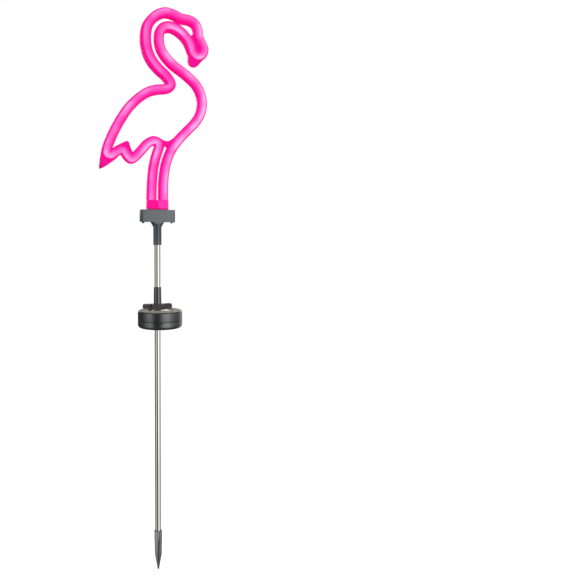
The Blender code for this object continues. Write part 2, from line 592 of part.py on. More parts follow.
def neon_shell(surface):
    """Backing of the whole outline with its webs, its foot and the tongue that plugs into the bracket."""
    edge = SHELL_HALF_WIDTH - SHELL_BACK_EDGE
    wall_end = SHELL_BACK - SHELL_BACK_EDGE
    section = [(SHELL_HALF_WIDTH, SHELL_FRONT), (SHELL_HALF_WIDTH, wall_end), (edge, SHELL_BACK),
               (-edge, SHELL_BACK), (-SHELL_HALF_WIDTH, wall_end), (-SHELL_HALF_WIDTH, SHELL_FRONT)]
    shell = finish("neon_shell", swept(section, FOOT_BOTTOM + 2 * OVERRUN, ledge), surface)
    beak_tip = arc(BEAK_TIP_CENTRE, BEAK_TIP_RADIUS, *BEAK_TIP_ARC, 14) + BEAK_TIP_ROOT
    for name, outline in (("tail_fin", TAIL_FIN), ("feather_web", FEATHER_WEB), ("leg_web", LEG_WEB),
                          ("head_web", HEAD_WEB), ("beak_tip", beak_tip)):
        join(shell, name, web(outline))
    for side in (-1, 1):
        join(shell, "foot_lobe_right" if side > 0 else "foot_lobe_left", foot_lobe(side))
    join(shell, "foot_tongue", tongue(0.0, FOOT_BOTTOM + OVERRUN))
    return shell


def neon_diffuser(surface):
    """Domed front of the tube, from one leg's foot round to the other's."""
    half, rim = DIFFUSER_HALF_WIDTH, DIFFUSER_BASE - DIFFUSER_RIM
    rise = DIFFUSER_HEIGHT - DIFFUSER_RIM
    section = [(half, DIFFUSER_BASE)]
    for i in range(DOME_STEPS + 1):
        angle = math.pi * i / DOME_STEPS
        section.append((half * math.cos(angle), rim - rise * math.sin(angle)))
    section.append((-half, DIFFUSER_BASE))
    return finish("neon_diffuser", swept(section, FOOT_TOP + CLEARANCE), surface)


def build():
    clear_scene()
    steel = material("brushed_steel", (0.62, 0.61, 0.57), 0.28, 1.0)
    spike_grey = material("spike_grey_plastic", (0.12, 0.12, 0.13), 0.45)
    charcoal = material("charcoal_plastic", (0.045, 0.047, 0.050), 0.42)
    collar_black = material("black_plastic", (0.022, 0.023, 0.025), 0.35)
    cell = material("solar_cell", (0.010, 0.012, 0.020), 0.06)
    bracket_grey = material("grey_plastic", (0.155, 0.175, 0.190), 0.50)
    screw_black = material("blackened_steel", (0.03, 0.03, 0.03), 0.40, 1.0)
    deep_pink = material("deep_pink_plastic", (0.80, 0.003, 0.24), 0.35)
    light_pink = material("pink_diffuser", (1.0, 0.12, 0.46), 0.22)

    ground_spike(spike_grey)
    tube("lower_pole", -SPIKE_SOCKET_DEPTH, LOWER_POLE_TOP, steel)
    drum_base(charcoal)
    drum_lid(charcoal)
    solar_panel(cell)
    pole_collar(collar_black)
    tube("upper_pole", COLLAR_BORE_BOTTOM + CLEARANCE, BRACKET_BORE_TOP - CLEARANCE, steel)
    bracket(bracket_grey)
    bracket_screw("bracket_screw_left", -1, screw_black)
    bracket_screw("bracket_screw_right", 1, screw_black)
    neon_shell(deep_pink)
    neon_diffuser(light_pink)


build()
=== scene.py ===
"""Solar flamingo garden light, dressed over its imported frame. Metres, +Z up, front towards -Y."""

import math

import bmesh
import bpy
from mathutils import Matrix, Vector
from mathutils.geometry import intersect_line_line_2d


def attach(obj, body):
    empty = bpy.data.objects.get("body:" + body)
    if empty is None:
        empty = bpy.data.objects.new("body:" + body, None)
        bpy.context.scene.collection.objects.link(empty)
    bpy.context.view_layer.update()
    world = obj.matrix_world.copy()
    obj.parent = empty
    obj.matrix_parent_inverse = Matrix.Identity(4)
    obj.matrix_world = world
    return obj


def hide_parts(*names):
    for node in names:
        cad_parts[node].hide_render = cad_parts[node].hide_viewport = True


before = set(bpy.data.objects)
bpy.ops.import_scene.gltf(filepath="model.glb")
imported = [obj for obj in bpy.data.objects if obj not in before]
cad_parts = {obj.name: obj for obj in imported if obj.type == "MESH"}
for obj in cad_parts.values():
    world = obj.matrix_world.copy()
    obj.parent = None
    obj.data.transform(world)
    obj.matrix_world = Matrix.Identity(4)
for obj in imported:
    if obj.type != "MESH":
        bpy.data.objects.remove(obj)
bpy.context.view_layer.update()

# Camera
CAMERA_PLACE = (-0.17745, -0.91290, 0.43740)
CAMERA_YAW = math.radians(21.8914)
CAMERA_PITCH = math.radians(-5.8855)
CAMERA_ROLL = math.radians(0.972)
CAMERA_LENS = 42.607
SENSOR_WIDTH = 36.0

# Light: the surround as matt faces see it, and above and behind for gloss
SURROUND_LEVEL = 0.93
SURROUND_LEAN = 0.15
BELOW_LEVEL = 0.15
CEILING_LEVEL = 0.08
BACKDROP_LEVEL = 2.20
# How bright gloss sees the surround, at angles in degrees round from the pole's view of the camera
SOFTBOX_BANDS = ((-180, 0.30), (-165, 0.08), (-120, 0.04), (-98, 0.08), (-80, 0.45), (-62, 1.35),
                 (-44, 1.70), (-39, 0.50), (-33, 0.00), (1, 0.00), (8, 0.90), (20, 1.90), (44, 2.50),
                 (58, 1.15), (74, 0.70), (92, 0.34), (112, 0.26), (128, 0.95), (152, 0.90), (166, 0.30),
                 (180, 0.30))
# A level above the brightest band, because a ramp holds no more than 1
BAND_SCALE = 3
LOW_LAMP_PLACE = Vector((-0.30, -0.22, 0.02))
LOW_LAMP_SIZE = 0.14
LOW_LAMP_POWER = 2.5

# Painted highlight: how pale each run of the neon line is painted at its middle, in the order of NEON_RUNS
RUN_PAINTED_HIGHLIGHT = (0.72, 0.84, 0.84, 0.72, 0.50, 0.74, 1.00, 0.82, 1.00, 0.80)

# Levels and sizes of the frame that the dressed pieces keep to
GAP = 0.0003
OVERSHOOT = 0.001
POLE_RADIUS = 0.0040
BORE_RADIUS = POLE_RADIUS + GAP
SPIKE_TIP = -0.0568
SPIKE_GROOVES = 4
SPIKE_BORE_DEPTH = 0.0153
DRUM_RADIUS = 0.0290
DRUM_CENTRE = Vector((0.0, -0.0172, 0.0))
DRUM_BOTTOM = 0.2895
DRUM_TOP = 0.3127
DRUM_WALL = 0.0022
DRUM_CORNER = 0.0043
CROWN_TOP = DRUM_TOP + 0.0009
DRUM_TOP_ROUND = 0.0022
SEAM = 0.2999
SEAM_ROUND = 0.0003
LID_CEILING = DRUM_TOP - 0.0026
POST_WALL = 0.0020
PANEL_HALF = 0.0150
PANEL_FRONT = -0.0286
PANEL_LENGTH = 0.0220
PANEL_MIDDLE = PANEL_FRONT + PANEL_LENGTH / 2
PANEL_TOP = CROWN_TOP - 0.0002
PANEL_BOTTOM = PANEL_TOP - 0.0010
PANEL_CROWN = 0.0006
PANEL_CORNER = 0.0008
CELL_HALF = 0.0139
CELL_SHIFT = -0.0006
WINGS_BOTTOM = CROWN_TOP + GAP
WINGS_TOP = 0.3191
WINGS_HALF = 0.0197
WINGS_FRONT = 0.0022
WINGS_BACK = 0.0038
WINGS_DRAFT = 0.0009
WINGS_ROUND = 0.0014
NOTCH_HALF = 0.0008
NOTCH_DEPTH = 0.0026
BOSS_HALF = 0.0088
BOSS_FRONT = 0.00595
BOSS_BACK = 0.0046
BOSS_CORNER = 0.0006
PAD_STEP = 0.0006
PAD_SINK = 0.0013
COLLAR_TOP = 0.3417
SOCKET_BOTTOM = 0.3983
FLARE_BOTTOM = 0.4221
BRACKET_BOTTOM = 0.4287
BRACKET_TOP = 0.4451
BRACKET_HALF = 0.02272
BRACKET_DEPTH_HALF = 0.0073
BRACKET_CORNER = 0.0030
SCREW_OFFSET = 0.01892
SCREW_BORE = 0.0013
SCREW_DEPTH = 0.0083
TONGUE_HALF = 0.0120
TONGUE_DEPTH_HALF = 0.0048
TONGUE_LENGTH = 0.0060
FIGURE_HEIGHT = 0.2600
SHELL_HALF = 0.00615
SHELL_BACK = 0.0069
SHELL_BACK_ROUND = 0.0012
SHELL_FRONT = -0.0017
WEB_SETBACK = 0.0004
WEB_EDGE = 0.0005
DOME_BASE = -0.0020
DOME_FRONT = -0.0069
DOME_HALF = 0.0052
FOOT_CENTRE = 0.00013
FOOT_HALF = 0.01422
FOOT_DEPTH_HALF = 0.0070
FOOT_BOTTOM = BRACKET_TOP + GAP
FOOT_TOP = BRACKET_TOP + 0.0125
FOOT_CORNER = 0.0042
LOBE_OVERLAP = 0.0005

# The neon line in the order that the tube runs, as shares of the figure's height above the bracket
NEAR_LEG = [(-0.029, 0.0), (-0.029, 0.060), (-0.027, 0.120), (-0.022, 0.190), (-0.012, 0.245),
            (0.001, 0.290)]
HIP = [(0.009, 0.316), (0.002, 0.339), (-0.020, 0.345), (-0.047, 0.332)]
WING_TIPS = [(-0.077, 0.299), (-0.108, 0.265), (-0.130, 0.250), (-0.149, 0.265), (-0.166, 0.289),
             (-0.181, 0.293), (-0.206, 0.280), (-0.231, 0.264), (-0.248, 0.270), (-0.248, 0.294)]
BACK = [(-0.225, 0.355), (-0.201, 0.405), (-0.176, 0.449), (-0.147, 0.493), (-0.115, 0.530),
        (-0.079, 0.562), (-0.040, 0.587), (0.000, 0.600), (0.042, 0.607)]
OUTER_NECK = [(0.063, 0.616), (0.071, 0.634), (0.046, 0.672), (0.009, 0.704), (-0.021, 0.738),
              (-0.042, 0.777), (-0.054, 0.842), (-0.047, 0.900), (-0.028, 0.935), (0.001, 0.962)]
CROWN = [(0.040, 0.979), (0.084, 0.974), (0.122, 0.959), (0.158, 0.957), (0.192, 0.943), (0.208, 0.913),
         (0.211, 0.881)]
BEAK = [(0.227, 0.850), (0.240, 0.820), (0.230, 0.793), (0.204, 0.781), (0.183, 0.797)]
INNER_NECK = [(0.171, 0.830), (0.155, 0.862), (0.128, 0.889), (0.096, 0.908), (0.062, 0.915), (0.030, 0.904),
              (0.014, 0.881), (0.010, 0.849), (0.015, 0.812), (0.030, 0.781), (0.053, 0.753), (0.086, 0.724),
              (0.126, 0.699), (0.168, 0.669)]
CHEST = [(0.203, 0.636), (0.225, 0.594), (0.233, 0.546), (0.223, 0.495), (0.197, 0.451), (0.155, 0.406),
         (0.110, 0.358)]
FAR_LEG = [(0.077, 0.312), (0.055, 0.266), (0.040, 0.214), (0.032, 0.150), (0.030, 0.080), (0.030, 0.0)]
NEON_RUNS = [NEAR_LEG, HIP, WING_TIPS, BACK, OUTER_NECK, CROWN, BEAK, INNER_NECK, CHEST, FAR_LEG]
LINE_KNOTS = sum(len(run) for run in NEON_RUNS)
LEDGE_SPANS = [(OUTER_NECK, 1, 8), (INNER_NECK, -1, 6)]
SIDE_LEDGE = 0.0016

# Webs of the backing, as shares of the same height
TAIL_FIN = [(-0.240, 0.330), (-0.266, 0.322), (-0.2755, 0.280), (-0.2835, 0.235), (-0.2865, 0.201),
            (-0.283, 0.1965), (-0.276, 0.1975), (-0.255, 0.209), (-0.226, 0.230), (-0.206, 0.246),
            (-0.190, 0.262), (-0.205, 0.285), (-0.230, 0.272)]
FEATHER_WEB = [(-0.235, 0.280), (-0.222, 0.300), (-0.190, 0.320), (-0.158, 0.336), (-0.148, 0.339),
               (-0.142, 0.335), (-0.130, 0.298), (-0.121, 0.285), (-0.128, 0.262), (-0.160, 0.280)]
LEG_WEB = [(0.000, 0.350), (0.014, 0.362), (0.030, 0.352), (0.048, 0.347), (0.066, 0.352), (0.086, 0.369),
           (0.100, 0.360), (0.076, 0.320), (0.053, 0.303), (0.050, 0.316), (0.043, 0.325), (0.036, 0.318),
           (0.033, 0.305), (0.010, 0.316)]
HEAD_WEB = [(0.176, 0.885), (0.196, 0.895), (0.215, 0.870), (0.232, 0.838), (0.220, 0.822), (0.2095, 0.824),
            (0.1995, 0.817), (0.185, 0.815), (0.166, 0.835), (0.150, 0.865)]
PINHOLE_PLACE = (0.2065, 0.818)
PINHOLE_RADIUS = 0.0008
BEAK_TIP_CENTRE = (0.190, 0.7595)
BEAK_TIP_RADIUS = 0.0300
BEAK_TIP_ARC = (170, 322)
BEAK_TIP_ROOT = [(0.254, 0.790), (0.245, 0.820), (0.180, 0.820), (0.160, 0.790)]


# Materials

class Value:
    """A number that varies over a surface, on which sums are written as plain expressions."""

    def __init__(self, maker, socket):
        self.maker = maker
        self.socket = socket

    def _math(self, operation, *terms):
        return self.maker.node("ShaderNodeMath", {"operation": operation}, dict(enumerate(terms)))

    def __add__(self, other):
        return self._math("ADD", self, other)

    def __sub__(self, other):
        return self._math("SUBTRACT", self, other)

    def __rsub__(self, other):
        return self._math("SUBTRACT", other, self)

    def __mul__(self, other):
        return self._math("MULTIPLY", self, other)

    def __truediv__(self, other):
        return self._math("DIVIDE", self, other)

    __radd__ = __add__
    __rmul__ = __mul__


class NodeMaker:
    """Adds nodes to one material or world."""

    def __init__(self, owner):
        owner.use_nodes = True
        self.tree = owner.node_tree

    def node(self, kind, settings=None, sockets=None, output=0, stops=None):
        made = self.tree.nodes.new(kind)
        for name, value in (settings or {}).items():
            setattr(made, name, value)
        if stops:
            self._set_stops(made.color_ramp, stops)
        for key, value in (sockets or {}).items():
            self.feed(made.inputs[key], value)
        return Value(self, made.outputs[output])

    def feed(self, socket, value):
        if isinstance(value, Value):
            self.tree.links.new(value.socket, socket)
        else:
            socket.default_value = value

    def _set_stops(self, ramp, stops):
        while len(ramp.elements) < len(stops):
            ramp.elements.new(1.0)
        for element, (place, colour) in zip(ramp.elements, stops):
            element.position = place
            element.color = (*colour, 1.0) if isinstance(colour, tuple) else (colour, colour, colour, 1.0)

    def ramp(self, value, stops):
        """A colour, or a grey level, that changes evenly between the stops."""
        return self.node("ShaderNodeValToRGB", None, {0: value}, stops=stops)

    def noise(self, scale, detail=3.0, roughness=0.55, stretch=(1, 1, 1)):
        """Noise over the object's own metres; scale is in waves to the metre, less along a stretched axis."""
        place = self.node("ShaderNodeTexCoord", output="Object")
        mapped = self.node("ShaderNodeMapping", None, {"Vector": place, "Scale": stretch})
        return self.node("ShaderNodeTexNoise", None,
                         {"Vector": mapped, "Scale": scale, "Detail": detail, "Roughness": roughness})

    def blend(self, share, first, second):
        """Mixes two colours by a share of 0 to 1."""
        made = self.tree.nodes.new("ShaderNodeMix")
        made.data_type = 'RGBA'
        for key, value in ((0, share), (6, first), (7, second)):
            self.feed(made.inputs[key], (*value, 1.0) if isinstance(value, tuple) else value)
        return Value(self, made.outputs[2])

    def band(self, value, start, end):
        """0 below start and 1 above end, or the other way round, with a smooth change between."""
        low, high = sorted((start, end))
        outcome = (0.0, 1.0) if start < end else (1.0, 0.0)
        return self.node("ShaderNodeMapRange", {"interpolation_type": 'SMOOTHSTEP'},
                         {"Value": value, "From Min": low, "From Max": high,
                          "To Min": outcome[0], "To Max": outcome[1]})

    def axes(self):
        """The object's X, Y and Z in metres."""
        place = self.node("ShaderNodeTexCoord", output="Object")
        return [self.node("ShaderNodeSeparateXYZ", None, {0: place}, output=i) for i in range(3)]


class Finish(NodeMaker):
    """One procedural material: constants go on the shader's own sockets, what varies is linked in."""

    def __init__(self, name, **constants):
        self.material = bpy.data.materials.new(name)
        super().__init__(self.material)
        self.shader = self.tree.nodes["Principled BSDF"]
        self.set(**constants)

    def set(self, **sockets):
        for name, value in sockets.items():
            if isinstance(value, tuple) and len(value) == 3:
                value = (*value, 1.0)
            self.feed(self.shader.inputs[name.replace("_", " ")], value)

    def relief(self, *layers):
        """Bump from (height, depth in metres) layers, one over the other."""
        normal = None
        for height, depth in layers:
            sockets = {"Height": height, "Distance": depth, "Strength": 1.0}
            if normal:
                sockets["Normal"] = normal
            normal = self.node("ShaderNodeBump", None, sockets)
        self.set(Normal=normal)


def plastic_finish(name, colour, roughness, tone_range=0.25, gloss_ior=2.10, matt=None, shade_painted_grooves=0):
    """Moulded plastic: fine spark-eroded grain, faint flow marks, a handled sheen and perhaps a matt zone.

    The matt zone is given as the height where it starts, the height where it is full, its colour and its
    roughness; the colour may be painted light, as on the lid's top. Grooves round the upright axis, the
    first towards +X, are darkened with painted shade.
    """
    finish = Finish(name, IOR=gloss_ior)
    grain = finish.noise(2600, detail=2.0)
    flow = finish.noise(70, detail=4.0, stretch=(1, 1, 0.5))
    smudge = finish.noise(28, detail=5.0, roughness=0.65)
    tone = flow * 0.6 + smudge * 0.4
    dark = tuple(c * (1 - tone_range) for c in colour)
    light = tuple(c * (1 + tone_range) for c in colour)
    tint = finish.blend(finish.band(tone, 0.35, 0.65), dark, light)
    if matt:
        start, full, zone_colour, matt_roughness = matt
        # The zone's colour can be painted light, as on the lid's top.
        zone = finish.band(finish.axes()[2], start, full)
        tint = finish.blend(zone, tint, zone_colour)
        roughness = roughness + zone * (matt_roughness - roughness)
    # Painted shade: the grooves are darkened along their middles.
    if shade_painted_grooves:
        x, y, _ = finish.axes()
        turn = finish.node("ShaderNodeMath", {"operation": 'ARCTAN2'}, {0: y, 1: x})
        wave = finish.node("ShaderNodeMath", {"operation": 'COSINE'}, {0: turn * shade_painted_grooves})
        tint = finish.blend(finish.band(wave, 0.10, 0.95), tint, tuple(c * 0.22 for c in colour))
    finish.set(Base_Color=tint, Roughness=roughness + (grain - 0.5) * 0.10 + (smudge - 0.5) * 0.16)
    finish.relief((flow, 0.00006), (grain, 0.00003))
    return finish.material


def drawn_steel():
    """Stainless tube, drawn lengthwise: long fine lines, faint rings of handling and a warm tone."""
    finish = Finish("drawn_steel", Metallic=1.0)
    lines = finish.noise(5200, detail=2.0, stretch=(1, 1, 0.004))
    broad = finish.noise(900, detail=2.0, stretch=(1, 1, 0.01))
    smudge = finish.noise(45, detail=5.0, stretch=(1, 1, 0.35))
    tone = lines * 0.35 + broad * 0.35 + smudge * 0.3
    finish.set(Base_Color=finish.blend(finish.band(tone, 0.36, 0.64), (0.54, 0.53, 0.48), (0.66, 0.65, 0.60)),
               Roughness=0.05 + lines * 0.05 + smudge * 0.05)
    finish.relief((broad, 0.000004), (lines, 0.000003))
    return finish.material


def blackened_steel():
    """Screw steel with a dark finish that is worn through in small spots."""
    finish = Finish("blackened_steel", Metallic=0.7)
    wear = finish.noise(1500, detail=4.0)
    worn = finish.band(wear, 0.55, 0.75)
    finish.set(Base_Color=finish.blend(worn, (0.018, 0.018, 0.019), (0.09, 0.088, 0.085)),
               Roughness=0.30 + wear * 0.25)
    finish.relief((wear, 0.00003))
    return finish.material


def solar_cell():
    """Dark cell under a clear cover with a matt border: crystal tone, fine lines across and two bus bars."""
    finish = Finish("solar_cell", IOR=1.75, Coat_Roughness=0.03)
    x, y, _ = finish.axes()
    crystal = finish.noise(420, detail=1.0)
    cell = finish.blend(finish.band(crystal, 0.4, 0.6), (0.006, 0.008, 0.020), (0.014, 0.018, 0.042))
    finger = finish.node("ShaderNodeMath", {"operation": 'PINGPONG'}, {0: y + 1.0, 1: 0.00110})
    finger_line = finish.band(finger, 0.00011, 0.00004)
    aside = finish.node("ShaderNodeMath", {"operation": 'ABSOLUTE'}, {0: x})
    bar = finish.node("ShaderNodeMath", {"operation": 'ABSOLUTE'}, {0: aside - PANEL_HALF / 2})
    bar_line = finish.band(bar, 0.00055, 0.00040)
    lined = finish.blend(finger_line * 0.55, cell, (0.20, 0.21, 0.22))
    lined = finish.blend(bar_line * 0.8, lined, (0.30, 0.31, 0.31))
    along = finish.node("ShaderNodeMath", {"operation": 'ABSOLUTE'}, {0: y - PANEL_MIDDLE})
    middle = finish.node("ShaderNodeMath", {"operation": 'ABSOLUTE'}, {0: x - CELL_SHIFT})
    inner = finish.band(middle, CELL_HALF, CELL_HALF - 0.0003)
    inner = inner * finish.band(along, PANEL_LENGTH / 2 - 0.0004, PANEL_LENGTH / 2 - 0.0007)
    finish.set(Base_Color=finish.blend(inner, (0.004, 0.004, 0.004), lined), Coat_Weight=inner,
               Roughness=1.0 + inner * (crystal * 0.06 - 0.90))
    return finish.material


def diffuser_pink():
    """Milky pink tube with painted light: a painted glow, painted highlights towards its outer side and
    painted shade along the inner one and the rims.

    The mesh tells how far across the tube a point is, 0 at the right of its run and 1 at its left, and how
    far along.
    """
    # The emission is a painted glow that brightens the whole tube.
    finish = Finish("diffuser_pink", IOR=1.46, Specular_IOR_Level=0.10, Emission_Strength=0.60)
    across, along = [finish.node("ShaderNodeAttribute", {"attribute_name": name}, output="Fac")
                     for name in ("across", "along")]
    painted_highlight_spots = finish.noise(42, detail=1.0)
    mottle = finish.noise(200, detail=3.0)
    middles = [run_start(run) + len(run) / 2 for run in NEON_RUNS]
    # Painted highlight: the middle of each run, and random patches, are painted paler.
    strength = finish.ramp(along, [(middle / LINE_KNOTS, level) for middle, level in zip(middles, RUN_PAINTED_HIGHLIGHT)])
    strength = strength * (0.74 + finish.band(painted_highlight_spots, 0.38, 0.64) * 0.44)
    # Painted light across the tube: paler towards the outer side, with painted shade deepening the inner side
    # and both rims.
    profile = finish.ramp(across, [(0.075, 0.06), (0.15, 0.20), (0.26, 0.42), (0.38, 0.63), (0.52, 0.82),
                                   (0.66, 0.97), (0.75, 1.00), (0.810, 0.86), (0.862, 0.42), (0.900, 0.08)])
    colour = finish.ramp(profile * strength + (mottle - 0.5) * 0.05, [
        (0.00, (0.86, 0.0020, 0.265)),
        (0.16, (0.90, 0.0110, 0.305)),
        (0.40, (0.92, 0.0500, 0.365)),
        (0.66, (0.94, 0.1350, 0.470)),
        (0.84, (0.95, 0.2300, 0.560)),
        (1.00, (0.95, 0.3200, 0.680)),
    ])
    finish.set(Base_Color=colour, Emission_Color=colour, Roughness=0.30 + mottle * 0.10)
    finish.relief((mottle, 0.00004))
    return finish.material


def backing_pink():
    """Deep pink backing with a painted glow, darker towards the tail's tip; the foot's right lobe is painted
    lighter as painted light, and the foot carries painted shade where it meets the bracket.
    """
    # The emission is a painted glow; the backing holds no lamp.
    finish = Finish("backing_pink", IOR=1.48, Specular_IOR_Level=0.10, Emission_Strength=0.50)
    x, _, z = finish.axes()
    flow = finish.noise(60, detail=3.0)
    grain = finish.noise(2200, detail=2.0)
    colour = finish.blend(finish.band(flow, 0.35, 0.65), (0.70, 0.0005, 0.245), (0.77, 0.0010, 0.280))
    tail = finish.band(x + z * 0.45, 0.1600, 0.1495)
    colour = finish.blend(tail * 0.85, colour, (0.40, 0.0005, 0.130))
    foot = finish.band(z, FOOT_TOP + 0.0004, FOOT_TOP - 0.0004)
    # Painted light: the foot's right lobe is painted lighter than the left one.
    painted_lit_lobe = finish.band(x, FOOT_CENTRE - 0.0006, FOOT_CENTRE + 0.0006)
    lobe = finish.blend(painted_lit_lobe, (0.80, 0.0005, 0.235), (0.88, 0.0280, 0.330))
    # Painted shade: the foot darkens towards where it meets the bracket.
    lowest = finish.band(z, FOOT_BOTTOM + 0.0026, FOOT_BOTTOM + 0.0010)
    lobe = finish.blend(lowest * 0.80, lobe, (0.42, 0.006, 0.140))
    colour = finish.blend(foot, colour, lobe)
    finish.set(Base_Color=colour, Emission_Color=colour,
               Roughness=0.36 + (grain - 0.5) * 0.08 + (flow - 0.5) * 0.10)
    finish.relief((flow, 0.00005), (grain, 0.00002))
    return finish.material


# Shapes

SMOOTH_ANGLE = math.radians(34)


def piece(name, bm, surface, node, smooth_angle=SMOOTH_ANGLE):
    """Makes the finished object that stands for a CAD node and rides on the light's body."""
    made = mesh_object(name, bm, smooth_angle)
    made.data.materials.append(surface)
    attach(made, "root")
    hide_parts(node)


def mesh_object(name, bm, smooth_angle=SMOOTH_ANGLE):
    """Turns a bmesh into an object in the scene, smooth but for its sharp edges."""
    bmesh.ops.remove_doubles(bm, verts=bm.verts, dist=1e-6)
    bmesh.ops.recalc_face_normals(bm, faces=bm.faces)
    mesh = bpy.data.meshes.new(name)
    bm.to_mesh(mesh)
    bm.free()
    mesh.shade_smooth()
    mesh.set_sharp_from_angle(angle=smooth_angle)
    made = bpy.data.objects.new(name, mesh)
    bpy.context.scene.collection.objects.link(made)
    return made


def carved(base, steps):
    """Joins and cuts bmeshes in turn with the base and gives the result as a bmesh."""
    body = mesh_object("carving", base)
    helpers = []
    for operation, shape in steps:
        helper = mesh_object("carving_tool", shape)
        helpers.append(helper)
        modifier = body.modifiers.new("carve", 'BOOLEAN')
        modifier.operation = operation
        modifier.solver = 'EXACT'
        modifier.object = helper
    bpy.context.view_layer.update()
    finished = bmesh.new()
    finished.from_mesh(body.evaluated_get(bpy.context.evaluated_depsgraph_get()).to_mesh())
    for spent in helpers + [body]:
        bpy.data.objects.remove(spent, do_unlink=True)
    return finished


def lofted(rings):
    """A closed skin over rings of equally many points, with a flat face at each end."""
    bm = bmesh.new()
    loops = [[bm.verts.new(point) for point in ring] for ring in rings]
    for lower, upper in zip(loops, loops[1:]):
        for i in range(len(lower)):
            bm.faces.new((lower[i - 1], lower[i], upper[i], upper[i - 1]))
    bm.faces.new(reversed(loops[0]))
    bm.faces.new(loops[-1])
    return bm


def turned(profile, centre=Vector((0, 0, 0)), segments=64):
    """A closed profile of (radius, height) turned round an upright axis."""
    bm = bmesh.new()
    ring = [bm.verts.new((centre.x + radius, centre.y, height)) for radius, height in profile]
    edges = [bm.edges.new((ring[i - 1], ring[i])) for i in range(len(ring))]
    bmesh.ops.spin(bm, geom=ring + edges, cent=centre, axis=(0, 0, 1), angle=math.tau, steps=segments,
                   use_merge=True)
    bmesh.ops.remove_doubles(bm, verts=bm.verts, dist=1e-6)
    return bm


def rod(radius, bottom, top, centre=Vector((0, 0, 0))):
    return turned([(0, bottom), (radius, bottom), (radius, top), (0, top)], centre)


def arc(centre, radius, start, end, steps):
    angles = [math.radians(start + (end - start) * i / steps) for i in range(steps + 1)]
    return [(centre[0] + radius * math.cos(a), centre[1] + radius * math.sin(a)) for a in angles]


def block(low, high):
    bm = bmesh.new()
    bmesh.ops.create_cube(bm, size=1)
    for vert in bm.verts:
        vert.co = [low[i] + (high[i] - low[i]) * (vert.co[i] + 0.5) for i in range(3)]
    return bm


def upright(edge):
    return abs((edge.verts[0].co - edge.verts[1].co).normalized().z) > 0.99


def on_level(height):
    return lambda edge: all(abs(vert.co.z - height) < 1e-6 for vert in edge.verts)


def round_edges(bm, chosen, radius, segments):
    bmesh.ops.bevel(bm, geom=[e for e in bm.edges if chosen(e)], offset=radius, segments=segments,
                    profile=0.5, affect='EDGES', clamp_overlap=True)


# The neon line

def run_start(run):
    """The place among the knots where a run of the line starts."""
    return sum(len(other) for other in NEON_RUNS[:NEON_RUNS.index(run)])


def curve_point(knots, times, at):
    """A point of the smooth curve through the middle two of four knots."""
    first = [knots[j].lerp(knots[j + 1], (at - times[j]) / (times[j + 1] - times[j])) for j in range(3)]
    second = [first[j].lerp(first[j + 1], (at - times[j]) / (times[j + 2] - times[j])) for j in range(2)]
    return second[0].lerp(second[1], (at - times[1]) / (times[2] - times[1]))


def neon_line(steps=40):
    """The tube's middle line as points (x, z), each with its place among the knots."""
    shares = [Vector(share) * FIGURE_HEIGHT for run in NEON_RUNS for share in run]
    knots = [shares[0] * 2 - shares[1]] + shares + [shares[-1] * 2 - shares[-2]]
    line = []
    for i in range(len(shares) - 1):
        span = knots[i:i + 4]
        times = [0.0]
        for a, b in zip(span, span[1:]):
            times.append(times[-1] + math.sqrt((b - a).length))
        for step in range(steps):
            at = times[1] + (times[2] - times[1]) * step / steps
            line.append((curve_point(span, times, at), i + step / steps))
    line.append((shares[-1], len(shares) - 1))
    return [(Vector((point.x, point.y + BRACKET_TOP)), place) for point, place in line]


def stations(lowest, length_step, turn_step):
    """Chosen points of the line above a height, each with the direction to its left and its place."""
    line = neon_line()
    rising = next(i for i, (point, _) in enumerate(line) if point.y > lowest)
    falling = next(i for i in range(len(line) - 1, 0, -1) if line[i][0].y > lowest)
    line = line[rising - 1:falling + 2]
    for end in (0, -1):
        line[end] = (Vector((line[end][0].x, lowest)), line[end][1])
    chosen, run, turn = [], 0.0, 0.0
    heading = line[1][0] - line[0][0]
    for i, (point, place) in enumerate(line):
        before, after = line[max(i - 1, 0)][0], line[min(i + 1, len(line) - 1)][0]
        run += (point - before).length
        turn += abs(heading.angle_signed(after - before))
        heading = after - before
        last = i == len(line) - 1
        if last and run < length_step / 3:
            chosen.pop()
        if not chosen or last or run > length_step or turn > turn_step:
            chosen.append((point, Vector((-heading.y, heading.x)).normalized(), place))
            run = turn = 0.0
    return chosen


def unfolded(row, window=70):
    """Closes to one point each stretch of a row that folds over itself on the inside of a tight bend."""
    row = list(row)
    i = 0
    while i < len(row) - 2:
        for j in range(min(i + window, len(row) - 2), i + 1, -1):
            meeting = intersect_line_line_2d(row[i], row[i + 1], row[j], row[j + 1])
            if meeting:
                row[i + 1:j + 1] = [meeting] * (j - i)
                i = j
                break
        i += 1
    return row


def ledge(place):
    """Extra width of the backing on the tube's left, eased in and out along the spans that have it."""
    extra = 0.0
    for run, first, last in LEDGE_SPANS:
        share = (place - run_start(run) - first) / (last - first)
        if 0 < share < 1:
            extra += SIDE_LEDGE * math.sin(math.pi * share) ** 0.7
    return extra


def swept(section, lowest, left_extra=lambda place: 0.0, length_step=0.0022, turn_step=math.radians(6)):
    """Sweeps (sideways, depth) points along the neon line and keeps where each lies as two attributes."""
    chosen = stations(lowest, length_step, turn_step)
    rows = []
    for sideways, depth in section:
        wide = sideways > DOME_HALF
        row = [point + left * (sideways + (left_extra(place) if wide else 0))
               for point, left, place in chosen]
        rows.append([(point.x, depth, point.y) for point in unfolded(row)])
    bm = lofted(list(zip(*rows)))
    across, along = [bm.verts.layers.float.new(name) for name in ("across", "along")]
    bm.verts.ensure_lookup_table()
    for i, vert in enumerate(bm.verts):
        vert[across] = 0.5 + 0.5 * section[i % len(section)][0] / SHELL_HALF
        vert[along] = chosen[i // len(section)][2] / LINE_KNOTS
    return bm


